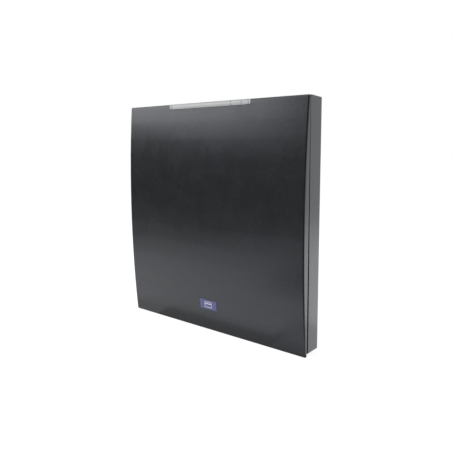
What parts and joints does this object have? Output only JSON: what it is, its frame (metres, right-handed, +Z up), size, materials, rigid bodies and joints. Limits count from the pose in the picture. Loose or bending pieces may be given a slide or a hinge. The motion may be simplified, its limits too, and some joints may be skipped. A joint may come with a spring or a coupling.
{
  "type": "rfid card reader",
  "caption": "Square wall card reader with a gently bulging charcoal front, a pale light bar in its top edge, a hinged cover over its boards, and a cable entry behind.",
  "frame": {"origin": "middle of the four wall screws, on the wall plane", "axes": "+Z up, +Y into the wall, so the front looks along -Y, and +X to the right as seen from the front"},
  "size_m": [0.305, 0.0341, 0.302],
  "materials": {
    "casing": "satin moulded charcoal plastic",
    "rubber": "matte",
    "steel": "satin",
    "brass": "satin",
    "board": "green solder mask, satin",
    "light_board": "white solder mask, satin",
    "copper": "satin copper track",
    "tin": "satin tinned sheet",
    "aluminium": "satin extruded",
    "chip": "matte moulded epoxy",
    "can": "satin sleeved can",
    "terminal": "satin green plastic",
    "capacitor": "matte",
    "coax": "satin sleeve",
    "ribbon": "satin",
    "ivory": "satin",
    "led": "gloss",
    "light_bar": "satin frosted translucent plastic",
    "badge": "satin blue",
    "badge_symbol": "satin pale"
  },
  "bodies": {
    "base": {"rear_housing": "casing", "rim_seal": "rubber", "cable_grommet": "rubber", "hinge_pins": "steel", "main_board_screws": "steel", "antenna_screws": "steel", "led_board_screws": "steel", "tamper_spring": "steel", "lock_insert": "brass", "standoffs": "brass", "header_pins": "brass", "coax_sockets": "brass", "main_board": "board", "antenna_board": "board", "led_board": "light_board", "antenna_loop": "copper", "shield_can": "tin", "crystal": "tin", "heat_sink": "aluminium", "processor": "chip", "logic_chips": "chip", "sounder": "chip", "tamper_switch": "chip", "power_coils": "chip", "filter_capacitors": "can", "power_header": "terminal", "data_header": "terminal", "tuning_capacitors": "capacitor", "coax_jumper": "coax", "ribbon_lead": "ribbon", "ribbon_sockets": "ivory", "leds": "led"},
    "cover": {"front_cover": "casing", "cover_ribs": "casing", "light_bar": "light_bar", "badge_plate": "badge", "badge_symbol": "badge_symbol"},
    "lock": {"lock_screw": "steel", "lock_screw_clip": "steel"},
    "power_plug": {"power_plug": "terminal", "power_clamp_screws": "steel"},
    "data_plug": {"data_plug": "terminal", "data_clamp_screws": "steel"},
    "plunger": {"tamper_plunger": "ivory"}
  },
  "joints": [
    {"name": "cover_swing", "type": "hinge", "parent": "base", "child": "cover", "pos_m": [0, -0.0194, 0.1478], "axis": [-1, 0, 0], "range_deg": [0, 90]},
    {"name": "lock_travel", "type": "slide", "parent": "cover", "child": "lock", "axis": [0, 0, 1], "range_m": [0, 0.007]},
    {"name": "power_pull", "type": "slide", "parent": "base", "child": "power_plug", "axis": [0, 0, 1], "range_m": [0, 0.009]},
    {"name": "data_pull", "type": "slide", "parent": "base", "child": "data_plug", "axis": [0, 0, 1], "range_m": [0, 0.009]},
    {"name": "tamper_press", "type": "slide", "parent": "base", "child": "plunger", "axis": [0, -1, 0], "range_m": [0, 0.0018], "stiffness_N_per_m": 250, "springref_m": -0.001, "deforming": ["tamper_spring"]}
  ]
}
